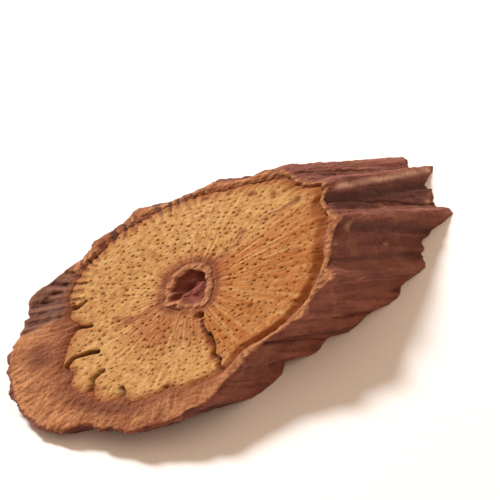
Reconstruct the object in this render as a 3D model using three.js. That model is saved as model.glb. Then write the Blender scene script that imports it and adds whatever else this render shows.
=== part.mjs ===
import * as THREE from 'three';

// A thick slanting slice of a dried climbing stem, lying on its lower cut.
// Millimetres, +Z up, the slice's long way along X, the origin under its middle.
// Angles run round the stem in degrees: 0 faces +Y, 90 the thick end,
// 180 faces -Y and 270 the thin tip.

// The stem and its two cuts
const stemDip = 29.6; // how far the stem's own axis dips below level, towards +X
const pithX = -4.39; // where the pith comes out on the upper cut
const pithY = -0.5;
const pithHeight = 3.53;
const upperCutRiseX = 0.223; // rise of the upper cut for each millimetre along X
const upperCutRiseY = 0.04;

// The pith: an open pit in the middle, with a raised lip
const pitRadius = 0.8;
const pitDepth = 0.9;
const lipRadius = 1.5;
const lipRise = 0.22;

// Radius of the wood and of the bark round the stem, as [angle, radius]
const woodEdge = [
  [0, 5.95], [30, 5.65], [50, 5.5], [68, 5.8], [96, 6.6], [128, 5.8], [150, 5.95], [178, 5.8],
  [193, 5.35], [206, 5.9], [230, 5.95], [260, 6.3], [284, 6.1], [310, 5.3], [327, 5.95],
];
const barkEdge = [
  [0, 6.8], [30, 6.1], [60, 6.15], [88, 6.6], [112, 6.5], [135, 6.45], [160, 6.55], [187, 6],
  [202, 6.6], [217, 7.5], [250, 7.75], [272, 8.5], [305, 8.4], [318, 8.1], [331, 8.4], [343, 7.2],
];

// Ridges of the bark, each as [angle, rise] at the upper cut and at the lower one.
// A negative rise is a furrow.
const ridges = [
  { from: [16, 0.35], to: [14, 0.45], halfWidth: 9 },
  { from: [47, 0.2], to: [45, 0.4], halfWidth: 7 },
  { from: [74, 0.4], to: [74, 0.75], halfWidth: 14 },
  { from: [99, 0.55], to: [91, 0.6], halfWidth: 8 },
  { from: [121, 0.35], to: [122, 0.65], halfWidth: 9 },
  { from: [132, 0], to: [134, -0.2], halfWidth: 5 },
  { from: [151, 0.5], to: [149, 0.4], halfWidth: 7 },
  { from: [169, 0.4], to: [164, 0.4], halfWidth: 7 },
  { from: [178, 0.1], to: [178, 0.45], halfWidth: 7 },
  { from: [191, 0], to: [191, 0.35], halfWidth: 5 },
  { from: [198, 0], to: [199, -0.4], halfWidth: 4 },
  { from: [211, 0.2], to: [208, 0.1], halfWidth: 6 },
  { from: [225, 0.1], to: [224, -0.5], halfWidth: 14 },
  { from: [238, 0.2], to: [240, 0.1], halfWidth: 6 },
  { from: [257, -0.4], to: [256, -0.3], halfWidth: 9 },
  { from: [292, 0], to: [292, 0.25], halfWidth: 8 },
  { from: [333, 0.1], to: [333, 0.3], halfWidth: 6 },
];

// The shrunken joint between wood and bark
const grooveHalfWidth = 0.32;
const grooveDepth = 0.4;
const grooveAngle = 145; // where it gapes most, and how much of it is left on the far side
const grooveLeast = 0.25;

// Splits in the upper face: a drying crack, and clefts between the lobes of the wood.
// Each runs from its inner to its outer radius and leans round as it goes out.
const splits = [
  { angle: 204, inner: 3, outer: 6.3, lean: 0, halfWidth: 0.24, depth: 0.8 },
  { angle: 252, inner: 5.2, outer: 6.3, lean: 1, halfWidth: 0.24, depth: 0.35 },
  { angle: 267, inner: 4.7, outer: 6.3, lean: -3, halfWidth: 0.26, depth: 0.5 },
  { angle: 288, inner: 4.6, outer: 6.3, lean: -4, halfWidth: 0.28, depth: 0.6 },
  { angle: 309, inner: 4.2, outer: 5.6, lean: 3, halfWidth: 0.24, depth: 0.45 },
];

// Places where the bark has broken or worn away below the upper cut
const breaks = [
  { angle: 328, halfAngle: 16, radius: 7.5, halfRadius: 1.5, depth: 0.9 },
  { angle: 350, halfAngle: 7, radius: 7, halfRadius: 0.8, depth: 0.5 },
  { angle: 30, halfAngle: 9, radius: 6.4, halfRadius: 0.7, depth: 0.5 },
  { angle: 58, halfAngle: 7, radius: 6.4, halfRadius: 0.6, depth: 0.5 },
  { angle: 187, halfAngle: 6, radius: 6.3, halfRadius: 0.6, depth: 0.4 },
  { angle: 278, halfAngle: 40, radius: 8.6, halfRadius: 2.2, depth: 0.35 },
];

// Chips off the lower edge
const chips = [
  { angle: 136, halfAngle: 6, depth: 0.35 },
  { angle: 197, halfAngle: 7, depth: 0.6 },
  { angle: 340, halfAngle: 10, depth: 0.8 },
];
const chipReach = 0.9; // how far in under the slice a chip reaches

// Slow waves of the upper cut, where the knife followed the grain
const waveHeight = 0.12;
const waveLength = 6.5;

// Worn edge between the upper cut and the bark
const edgeWear = 0.16;

const sectors = 120;
const pithShare = 0.2; // share of a ring's way out at which the lip of the pith ends
const woodShare = 0.8; // share at which the wood ends
const upperShares = [
  0, 0.06, 0.1, 0.15, 0.2, 0.3, 0.4, 0.5, 0.6, 0.68, 0.74, 0.77, 0.8, 0.83, 0.88, 0.94, 0.985,
];
const flankDrops = [0, 0.05, 0.15, 0.3, 0.45, 0.6, 0.75, 0.88, 0.97];
const lowerShares = [1, 0.93, 0.86, 0.8, 0.74, 0.6, 0.4, 0.2, 0.1, 0];

const dip = THREE.MathUtils.degToRad(stemDip);
const stemAxis = new THREE.Vector3(Math.cos(dip), 0, -Math.sin(dip));
const sideways = new THREE.Vector3(0, 1, 0);
const upslope = new THREE.Vector3().crossVectors(stemAxis, sideways);
const pith = new THREE.Vector3(pithX, pithY, pithHeight);
const upperNormal = new THREE.Vector3(-upperCutRiseX, -upperCutRiseY, 1).normalize();
const upperCut = new THREE.Plane().setFromNormalAndCoplanarPoint(upperNormal, pith);
const lowerCut = new THREE.Plane(new THREE.Vector3(0, 0, 1), 0);

// The shorter way round from one angle to another, in degrees
function turn(from, to) {
  return THREE.MathUtils.euclideanModulo(to - from + 180, 360) - 180;
}

// A rounded hump: 1 in the middle, falling to 0 at the half width
function hump(distance, halfWidth) {
  const share = Math.min(Math.abs(distance) / halfWidth, 1);
  return (1 + Math.cos(Math.PI * share)) / 2;
}

// The radius of an outline at any angle, by a smooth curve through its points
function outlineRadius(outline, angle) {
  const count = outline.length;
  const next = outline.findIndex(([at]) => at > angle);
  const after = next < 0 ? count : next;
  const at = (step) => outline[(after + step + count) % count];
  const [startAngle, startRadius] = at(-1);
  const [endAngle, endRadius] = at(0);
  const span = THREE.MathUtils.euclideanModulo(endAngle - startAngle, 360);
  const share = THREE.MathUtils.euclideanModulo(angle - startAngle, 360) / span;
  const slope = (before, beyond) => {
    const way = THREE.MathUtils.euclideanModulo(beyond[0] - before[0], 360);
    return ((beyond[1] - before[1]) / way) * span;
  };
  const startSlope = slope(at(-2), at(0));
  const endSlope = slope(at(-1), at(1));
  const left = 1 - share;
  const along = share * share * (3 - 2 * share);
  const bend = share * left * (left * startSlope - share * endSlope);
  return startRadius + (endRadius - startRadius) * along + bend;
}

// Outer radius of the bark, at a share of the way down from the upper cut
function barkRadius(angle, drop) {
  let radius = outlineRadius(barkEdge, angle);
  for (const { from, to, halfWidth } of ridges) {
    const crest = THREE.MathUtils.lerp(from[0], to[0], drop);
    const rise = THREE.MathUtils.lerp(from[1], to[1], drop);
    radius += rise * hump(turn(crest, angle), halfWidth);
  }
  return radius;
}

// Radius of a ring of the face, at a share of the way from the pith's middle to the edge
function ringRadius(angle, share, drop) {
  const wood = outlineRadius(woodEdge, angle);
  if (share <= pithShare) {
    return (lipRadius * share) / pithShare;
  }
  if (share <= woodShare) {
    const out = (share - pithShare) / (woodShare - pithShare);
    return THREE.MathUtils.lerp(lipRadius, wood, out);
  }
  const out = (share - woodShare) / (1 - woodShare);
  return THREE.MathUtils.lerp(wood, barkRadius(angle, drop), out);
}

// How deep the pith's pit is below its face, less the lip that stands above it
function pithDepth(radius) {
  const pit = pitDepth * hump(radius, pitRadius);
  const lipMiddle = (pitRadius + lipRadius) / 2;
  const lip = lipRise * hump(radius - lipMiddle, (lipRadius - pitRadius) * 0.7);
  return pit - lip;
}

// How deep the joint between wood and bark has shrunk
function grooveSink(angle, radius) {
  const gape = THREE.MathUtils.lerp(grooveLeast, 1, hump(turn(grooveAngle, angle), 90));
  return grooveDepth * gape * hump(radius - outlineRadius(woodEdge, angle), grooveHalfWidth);
}

// How far the upper face lies below the plane of its cut, measured along the stem
function upperSink(angle, radius) {
  let sink = pithDepth(radius) + grooveSink(angle, radius);
  for (const split of splits) {
    const middle = (split.inner + split.outer) / 2;
    const leanAngle = split.angle + split.lean * (radius - middle);
    const across = THREE.MathUtils.degToRad(turn(leanAngle, angle)) * radius;
    const lengthwise = hump(radius - middle, (split.outer - split.inner) / 2);
    sink += split.depth * hump(across, split.halfWidth) * Math.sqrt(lengthwise);
  }
  for (const gap of breaks) {
    const round = hump(turn(gap.angle, angle), gap.halfAngle);
    const inward = radius > gap.radius ? 1 : hump(radius - gap.radius, gap.halfRadius);
    sink += gap.depth * Math.sqrt(round) * inward;
  }
  const phase = (2 * Math.PI * radius) / waveLength;
  sink += waveHeight * Math.sin(phase + THREE.MathUtils.degToRad(angle)) * Math.min(radius / lipRadius - 1, 1);
  return sink;
}

// How much is missing from the lower edge, measured along the stem
function chipLift(angle) {
  return Math.max(...chips.map((chip) => chip.depth * hump(turn(chip.angle, angle), chip.halfAngle)));
}

// How far the lower face lies above the plane of its cut, measured along the stem
function lowerLift(angle, radius) {
  const fromEdge = barkRadius(angle, 1) - radius;
  const edge = chipLift(angle) * hump(fromEdge, chipReach);
  return edge + grooveSink(angle, radius) + Math.max(pithDepth(radius), 0);
}

function radialDirection(angle) {
  const turned = THREE.MathUtils.degToRad(angle);
  const across = sideways.clone().multiplyScalar(Math.cos(turned));
  return across.addScaledVector(upslope, Math.sin(turned));
}

// A point of the stem, and how far along the stem one of the cuts crosses the line through it
function stemPoint(angle, radius, along) {
  const point = pith.clone().addScaledVector(radialDirection(angle), radius);
  return point.addScaledVector(stemAxis, along);
}

function cutReach(cut, angle, radius) {
  return -cut.distanceToPoint(stemPoint(angle, radius, 0)) / cut.normal.dot(stemAxis);
}

function upperPoint(angle, share) {
  const radius = ringRadius(angle, share, 0);
  return stemPoint(angle, radius, cutReach(upperCut, angle, radius) + upperSink(angle, radius));
}

function lowerPoint(angle, share) {
  const radius = ringRadius(angle, share, 1);
  return stemPoint(angle, radius, cutReach(lowerCut, angle, radius) - lowerLift(angle, radius));
}

function flankPoint(angle, drop) {
  const wear = edgeWear * hump(drop, flankDrops[1]);
  const radius = barkRadius(angle, drop) - wear;
  const top = cutReach(upperCut, angle, radius) + upperSink(angle, radius) + wear;
  const bottom = cutReach(lowerCut, angle, radius) - chipLift(angle);
  return stemPoint(angle, radius, THREE.MathUtils.lerp(top, bottom, drop));
}

// Every row of the skin, from the pith over the upper face, down the bark and in underneath
const rows = [
  ...upperShares.map((share) => ({ profile: [share, 1], place: (angle) => upperPoint(angle, share) })),
  ...flankDrops.map((drop) => ({ profile: [1, 1 - drop], place: (angle) => flankPoint(angle, drop) })),
  ...lowerShares.map((share) => ({ profile: [share, 0], place: (angle) => lowerPoint(angle, share) })),
];

// A disc is turned on the lathe, and each of its vertices is then carried to its place
function sliceGeometry() {
  const profile = rows.map((row) => new THREE.Vector2(...row.profile));
  const geometry = new THREE.LatheGeometry(profile, sectors);
  const position = geometry.getAttribute('position');
  for (let index = 0; index < position.count; index += 1) {
    const sector = Math.floor(index / rows.length) % sectors;
    const point = rows[index % rows.length].place((360 * sector) / sectors);
    position.setXYZ(index, point.x, point.y, point.z);
  }
  geometry.computeVertexNormals();
  return geometry;
}

const driedStem = new THREE.MeshStandardMaterial({
  name: 'dried_stem',
  color: 0xc98f57,
  roughness: 0.85,
  metalness: 0,
});

const slice = new THREE.Mesh(sliceGeometry(), driedStem);
slice.name = 'vine_slice';

const object = new THREE.Group();
object.add(slice);

export default object;
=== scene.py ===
import functools
import math
import random

import bmesh
import bpy
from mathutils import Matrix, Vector, kdtree, noise


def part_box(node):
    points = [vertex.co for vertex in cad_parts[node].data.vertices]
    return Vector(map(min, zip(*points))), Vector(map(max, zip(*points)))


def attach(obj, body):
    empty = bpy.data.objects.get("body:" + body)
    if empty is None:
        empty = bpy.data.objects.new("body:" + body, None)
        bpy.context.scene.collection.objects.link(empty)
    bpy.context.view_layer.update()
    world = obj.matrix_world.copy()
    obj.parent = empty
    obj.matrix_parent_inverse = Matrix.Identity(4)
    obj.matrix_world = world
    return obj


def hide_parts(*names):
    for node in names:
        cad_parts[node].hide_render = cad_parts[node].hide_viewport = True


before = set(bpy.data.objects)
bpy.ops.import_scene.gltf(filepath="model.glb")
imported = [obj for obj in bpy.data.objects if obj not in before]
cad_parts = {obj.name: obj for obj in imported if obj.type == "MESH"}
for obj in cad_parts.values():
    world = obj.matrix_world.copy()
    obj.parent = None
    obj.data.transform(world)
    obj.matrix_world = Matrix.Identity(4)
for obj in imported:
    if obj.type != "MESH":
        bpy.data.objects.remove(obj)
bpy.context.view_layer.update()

mm = 0.001


# Camera
# The slice is seen from over its thin tip and its right side, as in the photograph. The long lens
# fills the frame with it, and the perspective is that of the photograph's own distance.
view_azimuth = math.radians(-47.45)
view_elevation = math.radians(40)
view_distance = 260 * mm
view_width = 28.6 * mm
aim_shift = Vector((0.9, -0.2, 0)) * mm
aim_low, aim_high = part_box("vine_slice")
aim = (aim_low + aim_high) / 2 + aim_shift
look = Vector((
    -math.sin(view_azimuth) * math.cos(view_elevation),
    math.cos(view_azimuth) * math.cos(view_elevation),
    -math.sin(view_elevation),
))
camera = bpy.data.objects.new("camera", bpy.data.cameras.new("camera"))
camera.location = aim - look * view_distance
camera.rotation_euler = look.to_track_quat("-Z", "Y").to_euler()
camera.data.lens = camera.data.sensor_width * view_distance / view_width
camera.data.clip_start = 10 * mm
bpy.context.scene.collection.objects.link(camera)
bpy.context.scene.camera = camera


# Floor and light
# A matte off-white sheet under the slice. One broad lamp stands behind it and to the left of the
# view, so that the shadow falls soft towards the lower right. The room gives a warm even fill.
def linear(code):
    """An sRGB hex colour as the linear RGBA that shaders take."""
    parts = [int(code[at:at + 2], 16) / 255 for at in (1, 3, 5)]
    return (*[c / 12.92 if c <= 0.04045 else ((c + 0.055) / 1.055) ** 2.4 for c in parts], 1)


def add(tree, kind, inputs=None, **settings):
    """Adds a node, sets its settings, and links or fills its inputs."""
    made = tree.nodes.new(kind)
    for name, value in settings.items():
        setattr(made, name, value)
    for socket, value in (inputs or {}).items():
        if isinstance(value, bpy.types.NodeSocket):
            tree.links.new(value, made.inputs[socket])
        else:
            made.inputs[socket].default_value = value
    return made


def new_material(name):
    """An empty material and its node tree."""
    material = bpy.data.materials.new(name)
    material.use_nodes = True
    material.node_tree.nodes.clear()
    return material, material.node_tree


floor_half = 400 * mm
floor_drop = 0.02 * mm     # keeps the sheet clear of the lower cut
floor_colour = "#FBFBFB"
floor_roughness = 0.9
lamp_azimuth = math.radians(-5)    # round from +Y towards -X
lamp_elevation = math.radians(38)
lamp_distance = 600 * mm
lamp_size = 130 * mm
lamp_power = 4.5
lamp_colour = "#FFFFFF"
room_colour = "#FFDCBE"
room_strength = 0.6

floor_bm = bmesh.new()
bmesh.ops.create_grid(floor_bm, x_segments=1, y_segments=1, size=floor_half)
bmesh.ops.translate(floor_bm, verts=floor_bm.verts, vec=(0, 0, -floor_drop))
floor_mesh = bpy.data.meshes.new("floor")
floor_bm.to_mesh(floor_mesh)
floor_bm.free()
floor = bpy.data.objects.new("floor", floor_mesh)
bpy.context.scene.collection.objects.link(floor)
floor_material, tree = new_material("matte_paper")
surface = add(tree, "ShaderNodeBsdfPrincipled",
              {"Base Color": linear(floor_colour), "Roughness": floor_roughness})
add(tree, "ShaderNodeOutputMaterial", {"Surface": surface.outputs["BSDF"]})
floor_mesh.materials.append(floor_material)

lamp = bpy.data.objects.new("lamp", bpy.data.lights.new("lamp", "AREA"))
lamp.data.shape = "DISK"
lamp.data.size = lamp_size
lamp.data.energy = lamp_power
lamp.data.color = linear(lamp_colour)[:3]
towards_lamp = Vector((
    -math.sin(lamp_azimuth) * math.cos(lamp_elevation),
    math.cos(lamp_azimuth) * math.cos(lamp_elevation),
    math.sin(lamp_elevation),
))
lamp.location = towards_lamp * lamp_distance
lamp.rotation_euler = (-towards_lamp).to_track_quat("-Z", "Y").to_euler()
bpy.context.scene.collection.objects.link(lamp)

room = bpy.data.worlds.new("room")
room.use_nodes = True
room.node_tree.nodes["Background"].inputs["Color"].default_value = linear(room_colour)
room.node_tree.nodes["Background"].inputs["Strength"].default_value = room_strength
bpy.context.scene.world = room
bpy.context.scene.view_settings.view_transform = "Standard"


# Wood
# The body of the slice is dried climber's wood, cut on the slant through its vessels, which show as
# open pores. It grew in lobes round the pith, and drying opened one crack and, between the lobes,
# several clefts.
stem_dip = math.radians(29.6)
pith_place = Vector((-4.39, -0.5, 3.53))
upper_rise = Vector((0.223, 0.04))
# Outlines and places in the stem's own section are an angle round the stem in degrees, where 0 faces
# +Y, 90 the thick end, 180 faces -Y and 270 the thin tip, and a radius in millimetres
wood_outline = [
    (0, 5.95), (30, 5.65), (50, 5.5), (68, 5.8), (96, 6.6), (128, 5.8), (150, 5.95), (178, 5.8),
    (193, 5.35), (206, 5.9), (230, 5.95), (260, 6.3), (284, 6.1), (310, 5.3), (327, 5.95),
]
bark_outline = [
    (0, 6.8), (30, 6.1), (60, 6.15), (88, 6.6), (112, 6.5), (135, 6.45), (160, 6.55), (187, 6),
    (202, 6.6), (217, 7.5), (250, 7.75), (272, 8.5), (305, 8.4), (318, 8.1), (331, 8.4), (343, 7.2),
]
pith_outline = [
    (0, 1.52), (25, 1.6), (50, 1.46), (88, 1.25), (118, 1.02), (158, 1.2), (195, 1.58), (228, 1.22),
    (258, 1.17), (290, 1.26), (323, 1.22),
]
# Each ridge of the bark as (angle, rise) at the upper cut and at the lower one, and its half width
ridges = [
    ((16, 0.35), (14, 0.45), 9), ((47, 0.2), (45, 0.4), 7), ((74, 0.4), (74, 0.75), 14),
    ((99, 0.55), (91, 0.6), 8), ((121, 0.35), (122, 0.65), 9), ((132, 0), (134, -0.2), 5),
    ((151, 0.5), (149, 0.4), 7), ((169, 0.4), (164, 0.4), 7), ((178, 0.1), (178, 0.45), 7),
    ((191, 0), (191, 0.35), 5), ((198, 0), (199, -0.4), 4), ((211, 0.2), (208, 0.1), 6),
    ((225, 0.1), (224, -0.5), 14), ((238, 0.2), (240, 0.1), 6), ((257, -0.4), (256, -0.3), 9),
    ((292, 0), (292, 0.25), 8), ((333, 0.1), (333, 0.3), 6),
]
least_bark = 0.5           # the thinnest that a furrow leaves the bark
pith_radius = 1.5          # of a round pith, which its own outline then makes squarish
ring_radius = 5            # where noise that changes with the angle alone is read
joint_wander = [(0.06, 0.9), (0.02, 0.35)]     # noise is given as (rise, size of its lumps)
overlap = 0.05             # how far the grown-together pieces run into each other
tuck = 0.12                # and how far each dives under the other there
groove_half_width = 0.34   # the shrunken joint between wood and bark
groove_depth = 0.42
groove_angle = 145         # where it gapes most
groove_half_angle = 90
groove_least = 0.25        # and how much of it is left on the far side
pore_spacing = 0.3
pore_reach = 6.8           # out to which radius there are pores
pore_turn = 0.42           # how far a pore is nudged round its ring, as a share of the spacing
pore_shift = 0.4           # and how far in or out
pore_share = 0.8           # the rest of the places stay empty
pore_sizes = (0.035, 0.11)     # the least and the greatest half width
pore_floor = 0.35          # how much of that is its flat bottom
pore_depth = 0.09
ray_step = 2.6             # degrees
ray_length = 2.5
ray_depth = 0.022
wood_roughness = [(0.03, 0.5), (0.02, 0.18)]
rim_width = 0.6            # the darker outermost wood
halo_half_width = 0.32     # the dark ring of wood round the pith
wave_height = 0.12
wave_length = 6.5
comb_spacing = 4.3         # degrees
comb_length = 1.1
comb_depth = 0.16
# Stretches round the stem are given as (start, end, softness of both ends), in degrees
comb_strong = (322, 45, 12)
comb_weak = (45, 108, 8)
red_lobe = (207, 298, 8)
orange_lobe = (97, 207, 6)
pale_spot = (174, 4.7)     # where the orange lobe is paler
pale_half_width = 1

# Splits as paths of (angle, radius), with their half width and depth, and how open they start
splits = [
    {"path": [(206, 2.4), (205, 3.4)], "half_width": 0.1, "depth": 0.2, "start": 0.5},
    {"path": [(203.4, 3.3), (204.2, 4.0), (205.6, 4.6), (204.4, 5.2), (204.8, 5.9)],
     "half_width": 0.14, "depth": 0.9, "start": 0.4},
    {"path": [(282, 6.3), (284, 6.05), (288.5, 5.85), (290.5, 5.4), (288.5, 4.85), (285, 4.5)],
     "half_width": 0.17, "depth": 0.6, "start": 1},
    {"path": [(264, 6.3), (266, 5.95), (270.5, 5.45), (270, 4.95)],
     "half_width": 0.16, "depth": 0.5, "start": 1},
    {"path": [(248, 6.2), (249, 5.75), (252.5, 5.4)], "half_width": 0.14, "depth": 0.4, "start": 1},
    {"path": [(311, 5.5), (309.5, 5.1), (307, 4.5)], "half_width": 0.14, "depth": 0.4, "start": 1},
    {"path": [(324, 6.0), (323, 5.3), (326, 4.9)], "half_width": 0.12, "depth": 0.3, "start": 1},
    {"path": [(228, 6.0), (229.5, 5.6)], "half_width": 0.14, "depth": 0.25, "start": 1},
]
split_opening = 0.4        # how far the edge of the wood turns in at each split, in millimetres
split_spread = 8           # and how far to each side, in degrees
split_reach = 0.3          # and how far down the slice, as a share of its height
split_wander = 0.04        # how far splits, knots and stains stray from their plain outlines
knot_wander = 0.06
stain_wander = 0.15
cleft_shade = 0.6          # the painted shade in the clefts between the lobes is lighter than in the drying crack

# A rotted hole, then brown knots, as (angle, radius, half width, depth)
knots = [
    (206.3, 1.97, 0.3, 0.5), (163.3, 5.68, 0.2, 0.15), (170.2, 5.91, 0.17, 0.15),
    (171.2, 3.71, 0.2, 0.12), (71, 5.2, 0.34, 0.12), (83, 5.35, 0.3, 0.12),
    (96.5, 5.65, 0.34, 0.15), (46, 5.2, 0.28, 0.12), (327, 4.7, 0.16, 0.1), (331, 4.3, 0.13, 0.1),
]

# Resin-red lines that part the lobes, from the pith outwards
stains = [
    {"path": [(302, 1.2), (293, 2.0), (298, 2.8), (303, 3.4)], "half_width": 0.3},
    {"path": [(70, 1.3), (83, 1.7), (90, 2.2), (88, 3.2)], "half_width": 0.36},
    {"path": [(92, 4.1), (91, 4.6), (97, 5.4)], "half_width": 0.2},
    {"path": [(205, 1.8), (206, 3.0), (204, 4.4), (205, 5.9)], "half_width": 0.26},
]

stem_axis = Vector((math.cos(stem_dip), 0, -math.sin(stem_dip)))
sideways = Vector((0, 1, 0))
upslope = stem_axis.cross(sideways)
upper_normal = Vector((-upper_rise.x, -upper_rise.y, 1))
lower_normal = Vector((0, 0, 1))
lower_place = Vector((0, 0, 0))
chance = random.Random(4)


def turn(start, end):
    """The shorter way round from one angle to another."""
    return (end - start + 180) % 360 - 180


def hump(distance, half_width):
    """A rounded hump: 1 in the middle, falling to 0 at the half width."""
    share = min(abs(distance) / half_width, 1)
    return (1 + math.cos(math.pi * share)) / 2


def ease(value, start, end):
    """0 up to start, 1 from end on, and smooth between."""
    share = max(0, min((value - start) / (end - start), 1))
    return share * share * (3 - 2 * share)


def between(start, end, share):
    return start + (end - start) * share


def window(angle, start, end, soft):
    """1 between two angles and 0 outside them, with soft ends."""
    middle, half = start + ((end - start) % 360) / 2, ((end - start) % 360) / 2
    return ease(abs(turn(middle, angle)), half + soft, half - soft)


@functools.lru_cache(maxsize=None)
def on_section(angle, radius):
    """A place on the stem's section, across and upslope."""
    turned = math.radians(angle)
    return Vector((radius * math.cos(turned), radius * math.sin(turned), 0))


def outline_radius(outline, angle):
    """The radius of an outline at any angle, by a smooth curve through its points."""
    after = next((at for at, point in enumerate(outline) if point[0] > angle), len(outline))
    points = [outline[(after + step) % len(outline)] for step in (-2, -1, 0, 1)]
    span = (points[2][0] - points[1][0]) % 360
    share = ((angle - points[1][0]) % 360) / span
    start_slope = (points[2][1] - points[0][1]) / ((points[2][0] - points[0][0]) % 360) * span
    end_slope = (points[3][1] - points[1][1]) / ((points[3][0] - points[1][0]) % 360) * span
    along = share * share * (3 - 2 * share)
    bend = share * (1 - share) * ((1 - share) * start_slope - share * end_slope)
    return between(points[1][1], points[2][1], along) + bend


@functools.lru_cache(maxsize=None)
def pith_edge(angle):
    """Where pith and wood meet. The pith is a little squarish."""
    return outline_radius(pith_outline, angle)


def stem_point(spot, along):
    """A point of the slice, from its place on the section and how far along the stem it lies."""
    return pith_place + sideways * spot.x + upslope * spot.y + stem_axis * along


def upper_reach(spot):
    """How far along the stem the upper cut crosses the line through a place on the section."""
    return (pith_place - stem_point(spot, 0)).dot(upper_normal) / stem_axis.dot(upper_normal)


def lower_reach(spot):
    return (lower_place - stem_point(spot, 0)).dot(lower_normal) / stem_axis.dot(lower_normal)


def grit(spot, size):
    """Even noise between about -1 and 1, with lumps of about the given size."""
    return noise.noise(spot / size) * 1.6


def rough(spot, layers):
    """Noise of several sizes together, from a list of (rise, size)."""
    return sum(rise * grit(spot, size) for rise, size in layers)


def round_grit(angle, radius, step, length):
    """Noise in radial streaks: lumps so many degrees wide and so many millimetres long."""
    turned = math.radians(angle)
    turns = 57 / step
    return grit(Vector((math.cos(turned) * turns, math.sin(turned) * turns, radius / length)), 1)


@functools.lru_cache(maxsize=None)
def bark_radius(angle, drop):
    """Outer radius of the bark, from the upper cut at drop 0 to the lower one at 1."""
    radius = outline_radius(bark_outline, angle)
    for (top_angle, top_rise), (low_angle, low_rise), half_width in ridges:
        crest = between(top_angle, low_angle, drop)
        radius += between(top_rise, low_rise, drop) * hump(turn(crest, angle), half_width)
    return radius


@functools.lru_cache(maxsize=None)
def joint_radius(angle, drop):
    """Where wood and bark meet. It wanders a little and turns in where splits open."""
    radius = outline_radius(wood_outline, angle) + rough(on_section(angle, ring_radius), joint_wander)
    for split in splits:
        away = min(abs(turn(split["path"][0][0], angle)) / split_spread, 1)
        opening = 1 - math.sin(math.pi / 2 * away) if split["start"] == 1 else 0
        radius -= split_opening * opening * ease(drop, split_reach, 0)
    return min(radius, bark_radius(angle, drop) - least_bark)


def groove(angle, radius, drop):
    """How far the joint between wood and bark has sunk."""
    gape = between(groove_least, 1, hump(turn(groove_angle, angle), groove_half_angle))
    gape *= 1 + 0.5 * grit(on_section(angle, ring_radius), 1.3)
    return groove_depth * gape * hump(radius - joint_radius(angle, drop), groove_half_width)


# Pores stand in rings round the pith, each nudged off its even place
pore_places = []
for ring in range(round(pith_radius / pore_spacing) + 1, round(pore_reach / pore_spacing)):
    count = round(2 * math.pi * ring)
    for number in range(count):
        pore_angle = (number + chance.uniform(-pore_turn, pore_turn)) * 360 / count
        pore_ring = (ring + chance.uniform(-pore_shift, pore_shift)) * pore_spacing
        if chance.random() < pore_share:
            pore_places.append((on_section(pore_angle, pore_ring), chance.uniform(*pore_sizes)))
pore_tree = kdtree.KDTree(len(pore_places))
for at, pore_place in enumerate(pore_places):
    pore_tree.insert(pore_place[0], at)
pore_tree.balance()


def pore(spot):
    """How deep inside a vessel's pore a place lies, from 0 to 1."""
    at, distance = pore_tree.find(spot)[1:]
    size = pore_places[at][1]
    return ease(distance, size, size * pore_floor)


for line in splits + stains:
    line["places"] = [on_section(angle, radius) for angle, radius in line["path"]]
    line["middle"] = sum(line["places"], Vector()) / len(line["places"])
    line["reach"] = max((place - line["middle"]).length for place in line["places"]) + line["half_width"]
knot_places = [(on_section(angle, radius), size, depth) for angle, radius, size, depth in knots]


def path_nearness(line, spot):
    """1 on a line's path, falling to 0 at its half width, and how far along it, from 0 to 1."""
    if (spot - line["middle"]).length > line["reach"]:
        return 0, 0
    path, best, where = line["places"], line["half_width"], 0
    for at, (start, end) in enumerate(zip(path, path[1:])):
        way = end - start
        share = max(0, min((spot - start).dot(way) / way.dot(way), 1))
        distance = (spot - start - way * share).length
        if distance < best:
            best, where = distance, (at + share) / (len(path) - 1)
    return hump(best, line["half_width"]), where


def comb(angle, radius, joint):
    """Radial teeth where the cut tore the outer wood and inner bark, on the left and at the back."""
    place = on_section(angle, radius)
    reach = max(window(angle, *comb_strong), 0.4 * window(angle, *comb_weak))
    reach *= 0.65 + 0.5 * grit(place, 1.1)
    teeth = math.sin(2 * math.pi * (angle + 4 * grit(place, 1.5)) / comb_spacing)
    return max(0, reach * ease(radius, joint - comb_length, joint - 0.1) * ease(teeth, -0.1, 0.6))


# Where the bark has broken or worn away at the upper cut, from a radius outwards
breaks = [
    {"angle": 328, "half_angle": 16, "radius": 7.5, "half_radius": 1.5, "depth": 0.9},
    {"angle": 350, "half_angle": 7, "radius": 7, "half_radius": 0.8, "depth": 0.5},
    {"angle": 30, "half_angle": 9, "radius": 6.4, "half_radius": 0.7, "depth": 0.5},
    {"angle": 58, "half_angle": 7, "radius": 6.4, "half_radius": 0.6, "depth": 0.5},
    {"angle": 187, "half_angle": 6, "radius": 6.3, "half_radius": 0.6, "depth": 0.4},
    {"angle": 278, "half_angle": 40, "radius": 8.6, "half_radius": 2.2, "depth": 0.35},
]


def break_sink(angle, radius):
    """How deep below the upper cut the bark has broken away."""
    sink = 0
    for gap in breaks:
        sideward = hump(turn(gap["angle"], angle), gap["half_angle"])
        inward = 1 if radius > gap["radius"] else hump(radius - gap["radius"], gap["half_radius"])
        sink += gap["depth"] * math.sqrt(sideward) * inward
    return sink


def face_wave(angle, radius):
    """Slow waves of the upper cut, where the blade followed the grain."""
    rise = math.sin(2 * math.pi * radius / wave_length + math.radians(angle))
    return wave_height * rise * max(0, min(radius / pith_radius - 1, 1))


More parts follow.
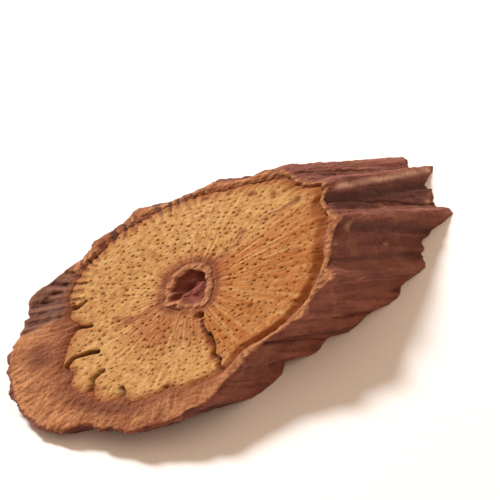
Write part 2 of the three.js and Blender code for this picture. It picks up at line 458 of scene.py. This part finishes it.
def wood_cut(angle, radius, drop):
    """The marks of the cut wood at one place, with how far it has sunk there."""
    spot = on_section(angle, radius)
    joint = joint_radius(angle, drop)
    edge = pith_edge(angle)
    pores = pore(spot) * ease(radius, edge + 0.1, edge + 0.4)
    rays = round_grit(angle, radius, ray_step, ray_length)
    sink = groove(angle, radius, drop) + pore_depth * pores + ray_depth * rays
    sink += rough(spot, wood_roughness)
    sink += tuck * ease(radius, joint - 0.02, joint + overlap)
    sink += tuck * ease(radius, edge + 0.02, edge - overlap)
    marks = {"pore": pores, "ray": 0.5 + 0.5 * rays, "rim": ease(joint - radius, rim_width, 0.05)}
    if drop == 0:
        wander = Vector((grit(spot, 0.5), grit(spot + Vector((9, 0, 0)), 0.5), 0))
        gape = split_shade = knot = 0
        for split in splits:
            near, where = path_nearness(split, spot + wander * split_wander)
            opening = near * between(split["start"], 1, where)
            gape = max(gape, split["depth"] * opening)
            split_shade = max(split_shade, opening * (cleft_shade if split["start"] == 1 else 1))
        for place, size, depth in knot_places:
            near = hump((spot + wander * knot_wander - place).length, size)
            gape = max(gape, depth * near)
            knot = max(knot, near)
        # painted shade inside the open splits
        marks["split"] = split_shade
        halo = hump(radius - edge - 0.14, halo_half_width) * (0.85 + 0.5 * grit(spot, 0.5))
        marks["knot"] = max(0, knot, halo)
        marks["comb"] = comb(angle, radius, joint)
        stained = max(path_nearness(line, spot + wander * stain_wander)[0] for line in stains)
        marks["stain"] = stained * (0.85 + 0.4 * grit(spot, 0.45))
        bent = angle + 6 * grit(spot, 1.2)
        red = window(bent, *red_lobe) * ease(radius, 4.2, 2.4)
        marks["red"] = 0.8 * max(red, ease(radius, edge + 1.1, edge + 0.2))
        pale = hump((spot - on_section(*pale_spot)).length, pale_half_width)
        marks["orange"] = window(bent, *orange_lobe) * between(1, 0.7, pale)
        sink += gape + face_wave(angle, radius) + break_sink(angle, radius)
        sink += comb_depth * marks["comb"]
    return sink, marks


def no_relief(angle, drop, along):
    return 0


def no_wall(angle, drop, along):
    return {}


def spun_ring(profile, sectors):
    """A closed ring or disc, spun about Z from a profile of (across, height) points."""
    bm = bmesh.new()
    corners = [bm.verts.new((across, 0, height)) for across, height in profile]
    sides = [bm.edges.new(pair) for pair in zip(corners, corners[1:])]
    if profile[0][0] > 0:
        sides.append(bm.edges.new((corners[-1], corners[0])))
    bmesh.ops.spin(bm, geom=corners + sides, cent=(0, 0, 0), axis=(0, 0, 1),
                   angle=2 * math.pi, steps=sectors, use_merge=True)
    bmesh.ops.remove_doubles(bm, verts=bm.verts, dist=1e-6)
    return bm


def ring_profile(upper_rows, outer_rows, lower_rows, inner_rows):
    """Evenly spaced points over the upper cut, down the outer wall and in underneath. Across runs
    from 1 at the inner wall to 2 at the outer one, and height from 1 at the top to 0."""
    points = [(1 + at / upper_rows, 1) for at in range(upper_rows)]
    points += [(2, 1 - at / outer_rows) for at in range(outer_rows)]
    points += [(2 - at / lower_rows, 0) for at in range(lower_rows)]
    return points + [(1, at / inner_rows) for at in range(inner_rows)]


share_slack = 0.002        # the rounding of a unit ring's walls


def carry(bm, names, inner, outer, cut, relief, wall):
    """Moves each vertex of a spun ring to its place in the stem, and notes its named marks. Inner
    and outer give the radii of its walls, cut the sink and marks of a cut, relief and wall the
    outward rise and the marks of the outside."""
    for name in names:
        bm.verts.layers.float.new(name)
    layers = {name: bm.verts.layers.float[name] for name in names}
    section = bm.verts.layers.float_vector.new("section")
    edges = {}
    for vert in bm.verts:
        angle = round(math.degrees(math.atan2(vert.co.y, vert.co.x)) % 360, 3)
        share = vert.co.xy.length - 1
        share = 1 if share > 1 - share_slack else 0 if share < share_slack else share
        drop = round(1 - vert.co.z, 5)
        radius = between(inner(angle, drop), outer(angle, drop), share)
        spot = on_section(angle, radius)
        along = between(upper_reach(spot), lower_reach(spot), drop)
        radius += relief(angle, drop, along) * ease(share, 0.8, 1)
        spot = on_section(angle, radius)
        if drop in (0, 1):
            sink, marks = cut(angle, radius, drop)
            sink = max(sink, 0) if drop else sink
            along = lower_reach(spot) - sink if drop else upper_reach(spot) + sink
            edges[angle, share, drop] = sink
        else:
            marks = wall(angle, drop, along) if share == 1 else {}
            ends = [cut(angle, radius, end)[0] if (angle, share, end) not in edges
                    else edges[angle, share, end] for end in (0, 1)]
            ends[1] = max(ends[1], 0)
            edges[angle, share, 0], edges[angle, share, 1] = ends
            along = between(upper_reach(spot) + ends[0], lower_reach(spot) - ends[1], drop)
        vert[section] = (spot.x, spot.y, along)
        for name, value in marks.items():
            vert[layers[name]] = value
        vert.co = stem_point(spot, along) * mm
    bmesh.ops.recalc_face_normals(bm, faces=bm.faces)


def place_piece(bm, name, material):
    """Makes a mesh object of a finished piece, as part of the slice."""
    mesh = bpy.data.meshes.new(name)
    bm.to_mesh(mesh)
    bm.free()
    mesh.shade_smooth()
    mesh.materials.append(material)
    piece = bpy.data.objects.new(name, mesh)
    bpy.context.scene.collection.objects.link(piece)
    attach(piece, "root")
    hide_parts("vine_slice")


def wood_inner(angle, drop):
    return pith_edge(angle) - overlap


def wood_outer(angle, drop):
    return joint_radius(angle, drop) + overlap


# Rows of the mesh over the upper cut, down the outside, in underneath and up the inner wall
wood_rows = (104, 4, 26, 3)
wood_sectors = 640
wood_bm = spun_ring(ring_profile(*wood_rows), wood_sectors)
carry(wood_bm, ("pore", "ray", "rim", "split", "knot", "comb", "stain", "red", "orange"),
      wood_inner, wood_outer, wood_cut, no_relief, no_wall)

# Dried end grain, sliced with a blade and left rough. Matte, warm tan, with dark open pores, paler
# rays, red-brown resin where the lobes meet, and painted shade inside its splits.
wood_material, tree = new_material("sliced_end_grain")


def mark(name):
    """The socket of one of the piece's own marks."""
    return add(tree, "ShaderNodeAttribute", attribute_name=name).outputs["Fac"]


def mixed(share, first, second):
    """One colour over another, by a share. A mix of colours has its share at socket 0, its colours
    at 6 and 7 and its result at 2."""
    made = add(tree, "ShaderNodeMix", {0: share, 6: first, 7: second}, data_type="RGBA")
    return made.outputs[2]


def scaled(value, factor, offset=0.0):
    """A value times a factor, plus an offset, kept between 0 and 1."""
    made = add(tree, "ShaderNodeMath", {0: value, 1: factor, 2: offset}, operation="MULTIPLY_ADD",
               use_clamp=True)
    return made.outputs[0]


section = add(tree, "ShaderNodeAttribute", attribute_name="section").outputs["Vector"]
# Fibres run along the stem: 0.3 mm across and eight times as long
fibre_place = add(tree, "ShaderNodeMapping", {"Vector": section, "Scale": (1, 1, 0.12)})
fibre = add(tree, "ShaderNodeTexNoise", {"Vector": fibre_place.outputs["Vector"], "Scale": 3.2,
                                         "Detail": 6, "Roughness": 0.65}).outputs["Fac"]
cloud = add(tree, "ShaderNodeTexNoise", {"Vector": section, "Scale": 0.55, "Detail": 3,
                                         "Roughness": 0.5}).outputs["Fac"]
speck = add(tree, "ShaderNodeTexNoise", {"Vector": section, "Scale": 7, "Detail": 3,
                                         "Roughness": 0.6}).outputs["Fac"]
# Small vessels stand 0.2 mm apart between the large ones. The narrowest, under 0.05 mm, are left out
vessel_place = add(tree, "ShaderNodeMapping", {"Vector": section, "Scale": (1, 1, 0)})
nearest = add(tree, "ShaderNodeTexVoronoi", {"Vector": vessel_place.outputs["Vector"], "Scale": 5.0},
              voronoi_dimensions="2D").outputs["Distance"]
vessel = scaled(nearest, -4.5, 1.25)
colour = mixed(scaled(cloud, 2.2, -0.7), linear("#C59A5C"), linear("#BE8B4A"))
colour = mixed(mark("orange"), colour, linear("#AE6A29"))
colour = mixed(mark("red"), colour, linear("#9A4E22"))
colour = mixed(scaled(mark("ray"), 1.0, -0.34), colour, linear("#D2AA6E"))
colour = mixed(scaled(fibre, 3.0, -1.35), colour, linear("#96592A"))
colour = mixed(scaled(mark("stain"), 0.75), colour, linear("#853D1C"))
colour = mixed(scaled(mark("knot"), 0.85), colour, linear("#743A12"))
colour = mixed(scaled(mark("rim"), 0.8), colour, linear("#945122"))
colour = mixed(scaled(mark("comb"), 0.85), colour, linear("#6A3618"))
colour = mixed(scaled(vessel, 0.45), colour, linear("#8E5626"))
colour = mixed(scaled(mark("pore"), 0.5), colour, linear("#805024"))
# painted shade inside the open splits and the crack
colour = mixed(scaled(mark("split"), 1.1), colour, linear("#42230E"))
height = add(tree, "ShaderNodeMath", {0: fibre, 1: speck}, operation="ADD").outputs[0]
bump = add(tree, "ShaderNodeBump", {"Height": height, "Strength": 0.5, "Distance": 0.06 * mm})
surface = add(tree, "ShaderNodeBsdfPrincipled",
              {"Base Color": colour, "Roughness": scaled(fibre, 0.25, 0.66),
               "Normal": bump.outputs["Normal"], "Specular IOR Level": 0.35})
add(tree, "ShaderNodeOutputMaterial", {"Surface": surface.outputs["BSDF"]})
place_piece(wood_bm, "vine_wood", wood_material)


# Pith
# Soft tissue in the middle of the stem, shrunk back to an open pit with a raised corky lip. It runs
# through the slice from cut to cut and is grown into the wood all round.
pit_radius = 0.95
pit_slope_out = 0.08       # how far the pit's wall slopes to each side of that radius
pit_slope_in = 0.18
pit_depth = 0.6
lip_rise = 0.1
lip_half_width = 0.34
pocket_place = (325, 0.45)     # a deeper hole in the pit
pocket_half_width = 0.4
pocket_depth = 0.3
pith_roughness = [(0.07, 0.3), (0.04, 0.14)]
pith_rows = 60
pith_wall_rows = 6
pith_sectors = 300


def pith_centre(angle, drop):
    return 0


def pith_outer(angle, drop):
    return pith_edge(angle) + overlap


def pith_cut(angle, radius, drop):
    """The marks of the cut pith, and how far it has sunk."""
    spot = on_section(angle, radius)
    edge = pith_edge(angle)
    shaped = radius / edge * pith_radius * (1 + 0.12 * grit(on_section(angle, 2), 0.9))
    shaped += 0.07 * grit(spot, 0.35)
    pit = ease(shaped, pit_radius + pit_slope_out, pit_radius - pit_slope_in)
    lip = hump(shaped - (pit_radius + pith_radius) / 2, lip_half_width)
    pocket = hump((spot - on_section(*pocket_place)).length, pocket_half_width)
    sink = pit_depth * pit * (1 + 0.3 * grit(spot, 0.5)) + pocket_depth * pocket
    sink -= lip_rise * lip * (1 + 0.8 * grit(spot, 0.5))
    sink += rough(spot, pith_roughness)
    sink += tuck * ease(radius, edge - 0.02, edge + overlap)
    return (sink if drop == 0 else max(0, sink)), {"pit": pit, "lip": lip, "pocket": pocket}


pith_bm = spun_ring(
    [(0, 1)] + [(1 + at / pith_rows, 1) for at in range(1, pith_rows)]
    + [(2, 1 - at / pith_wall_rows) for at in range(pith_wall_rows)]
    + [(2 - at / pith_rows, 0) for at in range(0, pith_rows, 3)] + [(0, 0)], pith_sectors)
carry(pith_bm, ("pit", "lip", "pocket"), pith_centre, pith_outer, pith_cut, no_relief, no_wall)

# Dried corky tissue: matte, a pinkish tan lip round a dark purple-brown hollow.
pith_material, tree = new_material("dried_pith")
section = add(tree, "ShaderNodeAttribute", attribute_name="section").outputs["Vector"]
speck = add(tree, "ShaderNodeTexNoise", {"Vector": section, "Scale": 4.5, "Detail": 5,
                                         "Roughness": 0.65}).outputs["Fac"]
colour = mixed(mark("lip"), linear("#5E2C14"), linear("#B47C58"))
colour = mixed(scaled(speck, 2.6, -1.15), colour, linear("#854A2E"))
colour = mixed(scaled(mark("pit"), 1.1), colour, linear("#83453A"))
colour = mixed(scaled(mark("pocket"), 0.8), colour, linear("#5A2620"))
bump = add(tree, "ShaderNodeBump", {"Height": speck, "Strength": 0.5, "Distance": 0.1 * mm})
surface = add(tree, "ShaderNodeBsdfPrincipled",
              {"Base Color": colour, "Roughness": 0.85, "Normal": bump.outputs["Normal"],
               "Specular IOR Level": 0.3})
add(tree, "ShaderNodeOutputMaterial", {"Surface": surface.outputs["BSDF"]})
place_piece(pith_bm, "vine_pith", pith_material)


# Bark
# Dried purple-brown bark with long ridges and furrows, grown onto the wood all round. Its cut edge
# is pinkish tan, and it has broken and worn away in places along both cuts.
edge_wear = 0.16           # how far the skin's edge has worn off along both cuts
skin_radius = 7            # where noise on the skin is read
broad_strands = [(0.45, 0.8)]
broad_squeeze = 0.035      # along the stem, which draws the strands out
fine_strands = [(0.35, 0.36), (0.2, 0.16)]
fine_squeeze = 0.1
strand_depth = 0.11
crack_depth = 0.11
skin_roughness = [(0.04, 0.6), (0.02, 0.22)]
scar_rise = 0.04
cut_roughness = [(0.05, 0.6), (0.05, 0.25), (0.05, 1.1), (0.03, 0.12)]
streak_depth = 0.03
torn_depth = 0.09
bark_rows = (26, 76, 8, 3)     # of the mesh, in the same order as those of the wood
bark_sectors = 840
# Chips off the lower edge
chips = [
    {"angle": 136, "half_angle": 6, "depth": 0.35},
    {"angle": 197, "half_angle": 7, "depth": 0.6},
    {"angle": 340, "half_angle": 10, "depth": 0.8},
]
chip_reach = 0.9
# Pale corky scars as (angle, drop), half widths in degrees and in drop
scars = [
    ((125, 0.1), 3.2, 0.045), ((135, 0.56), 2.4, 0.035), ((170, 0.46), 1.8, 0.07),
    ((197, 0.56), 3.2, 0.08), ((152, 0.33), 1.4, 0.025), ((112, 0.93), 3, 0.04),
    ((20, 0.4), 2, 0.035), ((52, 0.7), 1.6, 0.05), ((72, 0.3), 2, 0.03), ((348, 0.6), 2.4, 0.06),
    ((300, 0.5), 1.6, 0.12), ((235, 0.5), 1.8, 0.12), ((5, 0.8), 1.6, 0.04),
]
# Lines down the bark as (angle at the upper cut, angle at the lower one, half width in degrees):
# the rubbed crest of one ridge with its painted highlight, the painted shade under it, and furrows with
# their depth
crest_worn_and_lit = (102.3, 92.8, 2.1)
crest_shade = (110, 101, 7.5)
furrows = [(107, 100, 4, 0.13), (124, 129, 3, 0.16), (186, 178, 4, 0.12), (142, 141, 2.5, 0.1),
           (62, 60, 3, 0.14), (30, 32, 3, 0.14), (218, 216, 3, 0.12), (246, 247, 3, 0.14)]
deepest_furrow = 0.16
# Stretches round the stem again: painted shade on the skin's back, which faces the lamp, and painted
# light on its side turned from the lamp, and places of the cut edge, where the ruddy ones have the
# radius and half width of the stain
painted_shade_back = (285, 48, 18)
painted_light_side = (150, 215, 15)
purple_lump = (317, 341, 2)
pale_tip = (262, 300, 8)
pale_rim = (15, 205, 12)
ruddy_places = [((295, 308, 3), 6.7, 1.1), ((236, 270, 8), 6.5, 0.6)]


def bark_inner(angle, drop):
    return joint_radius(angle, drop) - overlap


def skin_place(angle, along):
    """A place on the bark's skin, for noise that doesn't depend on the ridges."""
    turned = math.radians(angle)
    return Vector((skin_radius * math.cos(turned), skin_radius * math.sin(turned), along))


def scar(angle, drop):
    """1 in the middle of a scar, falling to 0 at its oval edge."""
    ragged = 1 + 0.35 * grit(on_section(angle, 40 * drop), 0.5)
    return max(hump(math.hypot(turn(at, angle) / half_angle, (drop - level) / half_drop) * ragged, 1)
               for (at, level), half_angle, half_drop in scars)


def band(angle, drop, top, low, half_width):
    """1 along a line down the bark, falling to 0 at its half width."""
    return hump(turn(between(top, low, drop), angle), half_width)


def furrow(angle, drop):
    return max(depth * band(angle, drop, *line) for *line, depth in furrows)


@functools.lru_cache(maxsize=None)
def strands(angle, along):
    """Long strands of the skin, and how deep a crack between them is."""
    slow = skin_place(angle, along * broad_squeeze)
    bent = slow + Vector((0.12, 0.12, 0)) * grit(skin_place(angle, along), 2.5)
    quick = skin_place(angle, along * fine_squeeze)
    lines = rough(bent, broad_strands) + rough(quick, fine_strands)
    crack = ease(abs(grit(bent + Vector((0, 5, 0)), 0.9)), 0.12, 0)
    return lines, crack * ease(grit(quick, 2.2), -0.35, 0.25)


def bark_relief(angle, drop, along):
    """Fine relief of the bark's outside: strands, cracks between them, furrows and wrinkles."""
    lines, crack = strands(angle, round(along, 4))
    skin = skin_place(angle, along)
    ends = ease(drop, 0, 0.06) * ease(drop, 1, 0.94)
    relief = strand_depth * lines - crack_depth * crack * ends - furrow(angle, drop)
    relief += rough(skin, skin_roughness) + scar_rise * scar(angle, drop)
    return relief - edge_wear * (0.8 + grit(skin_place(angle, 0), 0.8)) * hump(drop, 0.05)


def bark_wall(angle, drop, along):
    """The marks of the bark's skin."""
    lines, crack = strands(angle, round(along, 4))
    skin = skin_place(angle, along)
    crest = band(angle, drop, *crest_worn_and_lit) * ease(drop, 0.02, 0.1)
    shade = band(angle, drop, *crest_shade)
    quiet = Vector((skin.x, skin.y, along * 0.2))
    rubbed = ease(grit(quiet, 0.45), -0.3, 0.4)
    rise = bark_radius(angle, drop) - outline_radius(bark_outline, angle)
    return {
        "worn_and_highlight": crest * between(0.5, 1, rubbed),
        "scar": scar(angle, drop),
        "back_painted_shade": max(0, window(angle, *painted_shade_back) * (0.8 + 0.5 * grit(quiet, 1.6))),
        "painted_hollow_shade": min(1, crack + furrow(angle, drop) / deepest_furrow + 0.6 * shade),
        "ridge_and_painted_light": max(0, min(1, 0.35 + rise + 0.3 * lines + 0.35 * window(angle, *painted_light_side))),
    }


def bark_cut(angle, radius, drop):
    """The marks of the bark's cut edge, and how far it has sunk."""
    spot = on_section(angle, radius)
    joint = joint_radius(angle, drop)
    outer = bark_radius(angle, drop)
    streaks = round_grit(angle, radius, 1.8, 0.9)
    sink = groove(angle, radius, drop) + streak_depth * streaks + rough(spot, cut_roughness)
    sink += tuck * ease(radius, joint + 0.02, joint - overlap)
    marks = {
        "cut": 1,
        "outward": max(0, min((radius - joint) / (outer - joint), 1)),
        "skin": ease(radius, outer - 0.28, outer - 0.08),
        "streak": 0.5 + 0.5 * streaks,
        "ridge_and_painted_light": 0.5,
    }
    if drop == 0:
        marks["comb"] = comb(angle, radius, joint)
        bent = angle + 3.5 * grit(spot, 0.8)
        marks["purple"] = window(bent, *purple_lump) * ease(radius, joint + 0.1, joint + 0.5)
        marks["ruddy"] = max(window(angle, *stretch) * hump(radius - middle, half_width)
                             for stretch, middle, half_width in ruddy_places)
        marks["pale"] = max(window(angle, *pale_tip) * ease(radius, 6.9, 7.6),
                            window(angle, *pale_rim) * ease(radius, outer - 0.45, outer - 0.2))
        marks["bast"] = marks["purple"] * ease(round_grit(angle, radius, 1.4, 4), 0.1, 0.45)
        torn = marks["purple"] * (0.08 * grit(spot, 0.6) + 0.12 * round_grit(angle, radius, 2.2, 4))
        sink += break_sink(angle, radius) + face_wave(angle, radius) + torn
        sink += torn_depth * marks["comb"] + edge_wear * ease(radius, outer - 0.3, outer)
    else:
        chipped = max(chip["depth"] * hump(turn(chip["angle"], angle), chip["half_angle"])
                      for chip in chips)
        sink = max(sink, 0) + chipped * hump(max(0, outer - radius), chip_reach)
    return sink, marks


bark_bm = spun_ring(ring_profile(*bark_rows), bark_sectors)
carry(bark_bm, ("cut", "outward", "skin", "streak", "ridge_and_painted_light", "comb", "purple", "bast", "ruddy", "pale",
                "worn_and_highlight", "scar", "painted_hollow_shade", "back_painted_shade"),
      bark_inner, bark_radius, bark_cut, bark_relief, bark_wall)

# Dried bark: matte and slightly waxy, purple-brown with painted shade in its furrows and cracks,
# rubbed pale on one ridge with a painted highlight there, painted shade on the back that faces the
# lamp and painted light on the side turned from it.
# Its cut edge shows the tan inner bark between a dark inner line and a thin dark skin.
bark_material, tree = new_material("dried_bark")
section = add(tree, "ShaderNodeAttribute", attribute_name="section").outputs["Vector"]
# Strands of the skin are 0.45 mm wide and eight times as long, and its patches 1.25 mm wide
strand_place = add(tree, "ShaderNodeMapping", {"Vector": section, "Scale": (1, 1, 0.12)})
strand = add(tree, "ShaderNodeTexNoise", {"Vector": strand_place.outputs["Vector"], "Scale": 2.2,
                                          "Detail": 7, "Roughness": 0.65}).outputs["Fac"]
patch = add(tree, "ShaderNodeTexNoise", {"Vector": section, "Scale": 0.8, "Detail": 4,
                                         "Roughness": 0.55}).outputs["Fac"]
speck = add(tree, "ShaderNodeTexNoise", {"Vector": section, "Scale": 5, "Detail": 4,
                                         "Roughness": 0.6}).outputs["Fac"]
# paler on the raised ridges, and painted light on the side turned from the lamp
outside = mixed(mark("ridge_and_painted_light"), linear("#6C362C"), linear("#9A5A48"))
outside = mixed(scaled(strand, 3.6, -1.6), outside, linear("#5A2A22"))
outside = mixed(scaled(patch, 3.4, -1.85), outside, linear("#A0664A"))
# painted shade on the back, which faces the lamp
outside = mixed(scaled(mark("back_painted_shade"), 0.6), outside, linear("#5C3E36"))
# painted shade in cracks and furrows and under the rubbed crest
outside = mixed(scaled(mark("painted_hollow_shade"), 0.7), outside, linear("#43201A"))
# the rubbed crest, pale from wear and from a painted highlight
worn_and_highlight = add(tree, "ShaderNodeMath", {0: mark("worn_and_highlight"), 1: scaled(speck, 2.0, -0.2)},
           operation="MULTIPLY").outputs[0]
outside = mixed(scaled(worn_and_highlight, 1.4), outside, linear("#E2B49C"))
outside = mixed(scaled(mark("scar"), 0.65), outside, linear("#C08E68"))
edge = mixed(scaled(mark("outward"), 3.2, -0.1), linear("#7E421F"), linear("#B67C4E"))
edge = mixed(scaled(patch, 3.2, -1.3), edge, linear("#98552A"))
edge = mixed(scaled(mark("pale"), 0.9), edge, linear("#CC8E5C"))
edge = mixed(scaled(mark("ruddy"), 0.9), edge, linear("#743A20"))
edge = mixed(scaled(mark("streak"), 1.3, -0.6), edge, linear("#844A28"))
edge = mixed(scaled(speck, 2.4, -1.1), edge, linear("#83492C"))
edge = mixed(scaled(mark("comb"), 0.95), edge, linear("#552A14"))
edge = mixed(scaled(mark("purple"), 0.9), edge, linear("#572E21"))
edge = mixed(scaled(mark("bast"), 0.7), edge, linear("#8A5C44"))
edge = mixed(scaled(mark("skin"), 0.7), edge, linear("#7A4634"))
colour = mixed(mark("cut"), outside, edge)
height = add(tree, "ShaderNodeMath", {0: strand, 1: speck}, operation="ADD").outputs[0]
bump = add(tree, "ShaderNodeBump", {"Height": height, "Strength": 1.0, "Distance": 0.16 * mm})
surface = add(tree, "ShaderNodeBsdfPrincipled",
              {"Base Color": colour, "Roughness": scaled(strand, 0.3, 0.58),
               "Normal": bump.outputs["Normal"], "Specular IOR Level": 0.35})
add(tree, "ShaderNodeOutputMaterial", {"Surface": surface.outputs["BSDF"]})
place_piece(bark_bm, "vine_bark", bark_material)
